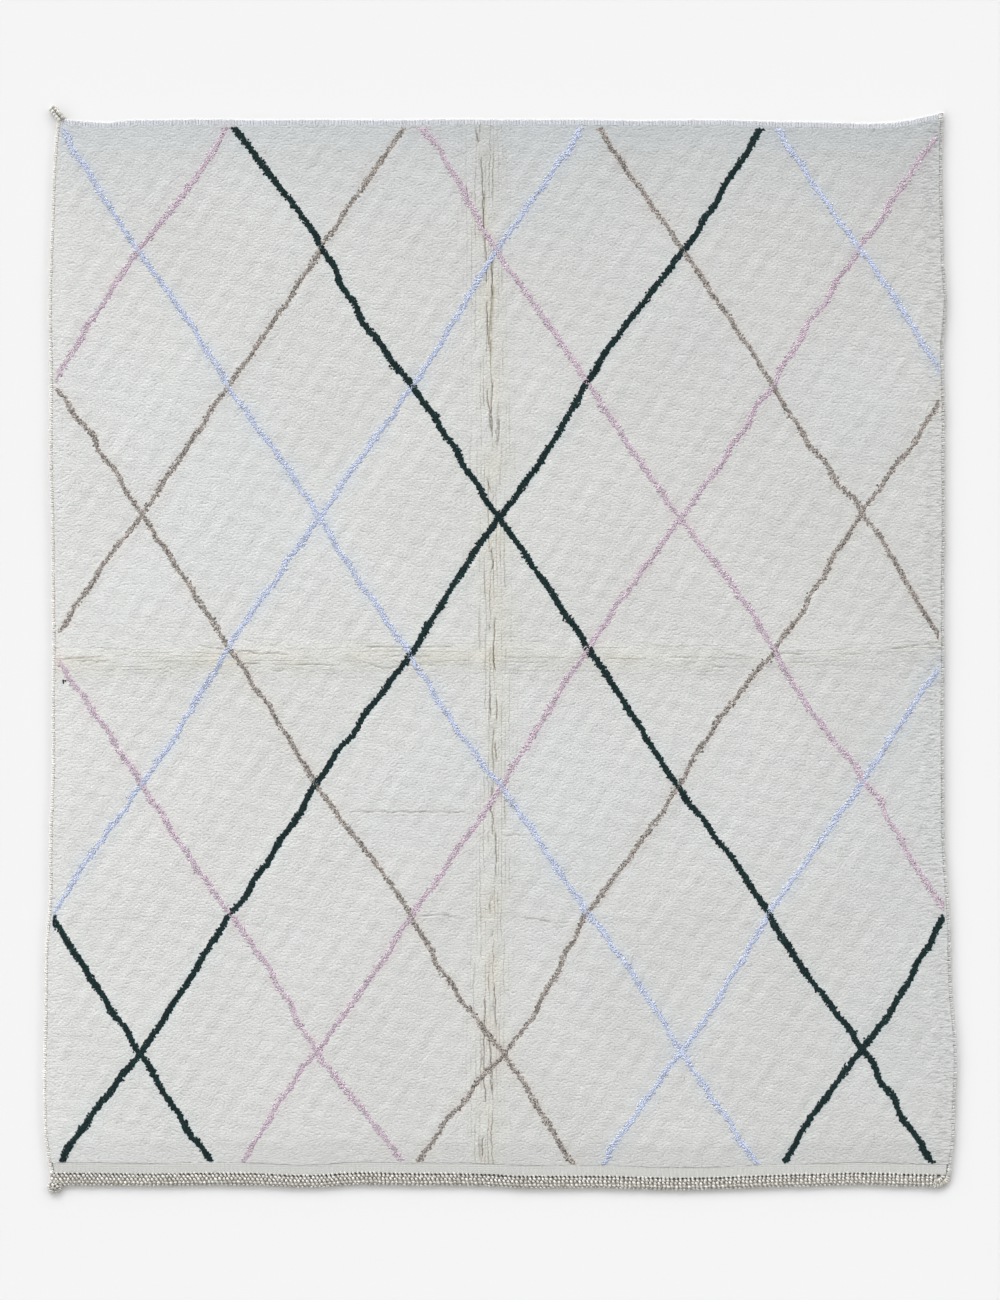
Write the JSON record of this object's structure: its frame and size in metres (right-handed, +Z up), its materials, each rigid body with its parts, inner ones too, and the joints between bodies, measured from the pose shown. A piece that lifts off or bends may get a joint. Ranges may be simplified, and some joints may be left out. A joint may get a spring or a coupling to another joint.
{
  "type": "boujaad rug",
  "caption": "Hand-knotted wool rug, lying flat: an ivory pile with thin coloured lines, overcast sides, a ribbed heading and a plaited end.",
  "frame": {"origin": "middle of the rug's whole outline, on the floor that it lies on", "axes": "+X to the rug's right, +Y along its length to the heading at the back end, +Z up out of the pile"},
  "size_m": [2.5386, 3.0198, 0.0257],
  "materials": {
    "pile_wool": "matt knotted wool pile, ivory with dark green, brown, pink and pale blue knots",
    "left_cord_wool": "matt yellowish ivory wool, overcast",
    "right_cord_wool": "matt greyish ivory wool, overcast",
    "heading_wool": "matt ivory wool, twined in fine ribs",
    "plait_wool": "matt speckled ivory, beige and grey-brown wool, plaited"
  },
  "bodies": {
    "root": {"pile_field": "pile_wool", "left_selvedge": "left_cord_wool", "right_selvedge": "right_cord_wool", "back_heading": "heading_wool", "front_plait": "plait_wool", "back_left_tail": "plait_wool", "front_left_tail": "plait_wool"}
  },
  "joints": []
}
